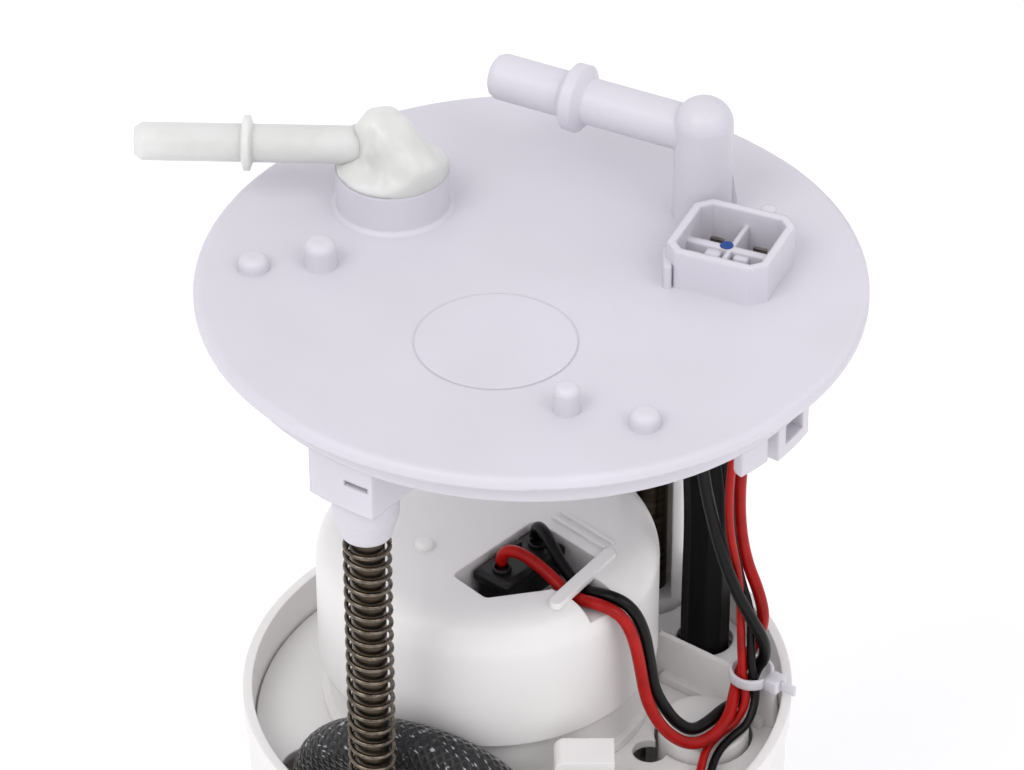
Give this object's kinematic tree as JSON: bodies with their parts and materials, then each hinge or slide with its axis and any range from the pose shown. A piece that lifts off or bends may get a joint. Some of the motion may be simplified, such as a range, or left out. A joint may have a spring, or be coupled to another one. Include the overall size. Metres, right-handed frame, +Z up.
{
  "type": "fuel pump module",
  "caption": "Fuel pump module: round tank flange with two pipe ports and a connector, guide rods and spring over a reservoir with pump, filter and level sender.",
  "frame": {"origin": "centre of the flange's seat on the tank, the underside of its rim", "axes": "+Z up out of the tank along the register's axis, -Y towards the level sender, -X the way the outlet nipple points"},
  "size_m": [0.1466, 0.1389, 0.2285],
  "materials": {
    "white_acetal": "satin",
    "natural_nylon": "translucent satin",
    "white_tub": "satin",
    "steel": "ground",
    "black_nylon": "satin",
    "black_rubber": "matt",
    "braided_sleeve": "woven",
    "red_insulation": "satin",
    "black_insulation": "satin",
    "clear_nylon": "translucent",
    "tinned_brass": "bright",
    "zinc_can": "plated",
    "ferrite": "matt",
    "filter_paper": "pleated",
    "strainer_mesh": "mesh",
    "ceramic": "fired",
    "float_foam": "closed cell"
  },
  "bodies": {
    "flange": {"flange": "white_acetal", "outlet_elbow": "natural_nylon", "elbow_seal": "black_rubber", "connector_terminals": "tinned_brass", "guide_rod_front": "steel", "guide_rod_rear": "steel", "rod_clip_front": "steel", "rod_clip_rear": "steel", "spring_front": "steel", "return_hose": "black_rubber"},
    "reservoir": {"reservoir_tub": "white_tub", "reservoir_cover": "white_tub", "filter_cap": "white_tub", "filter_case": "white_tub", "filter_element": "filter_paper", "pump_housing": "zinc_can", "pump_magnets": "ferrite", "pump_inlet_cover": "black_nylon", "pump_outlet_cap": "black_nylon", "pump_isolator": "black_rubber", "strainer": "strainer_mesh", "pump_plug": "black_nylon", "regulator_holder": "white_tub", "pressure_regulator": "zinc_can", "regulator_seal": "black_rubber", "jet_pump": "black_nylon", "foot_valve": "black_rubber", "sender_housing": "white_acetal", "resistor_card": "ceramic", "sender_plug": "black_nylon", "woven_hose": "braided_sleeve", "pump_lead_red": "red_insulation", "pump_lead_black": "black_insulation", "sender_lead_red": "red_insulation", "sender_lead_black": "black_insulation", "cable_tie": "clear_nylon"},
    "pump_rotor": {"pump_armature": "zinc_can", "pump_impeller": "black_nylon"},
    "float": {"float_arm_hub": "white_acetal", "float_arm": "steel", "float_body": "float_foam"}
  },
  "joints": [
    {"name": "reservoir_slide", "type": "slide", "parent": "flange", "child": "reservoir", "axis": [0, 0, 1], "range_m": [0, 0.038], "stiffness_N_per_m": 500, "springref_m": -0.02, "deforming": ["spring_front", "return_hose", "pump_lead_red", "pump_lead_black", "sender_lead_red", "sender_lead_black"]},
    {"name": "rotor_spin", "type": "hinge", "parent": "reservoir", "child": "pump_rotor", "pos_m": [-0.0091, 0.007, -0.128], "axis": [0, 0, 1], "continuous": true},
    {"name": "float_swing", "type": "hinge", "parent": "reservoir", "child": "float", "pos_m": [0.003, -0.0686, -0.142], "axis": [0, 1, 0], "range_deg": [0, 65]}
  ]
}
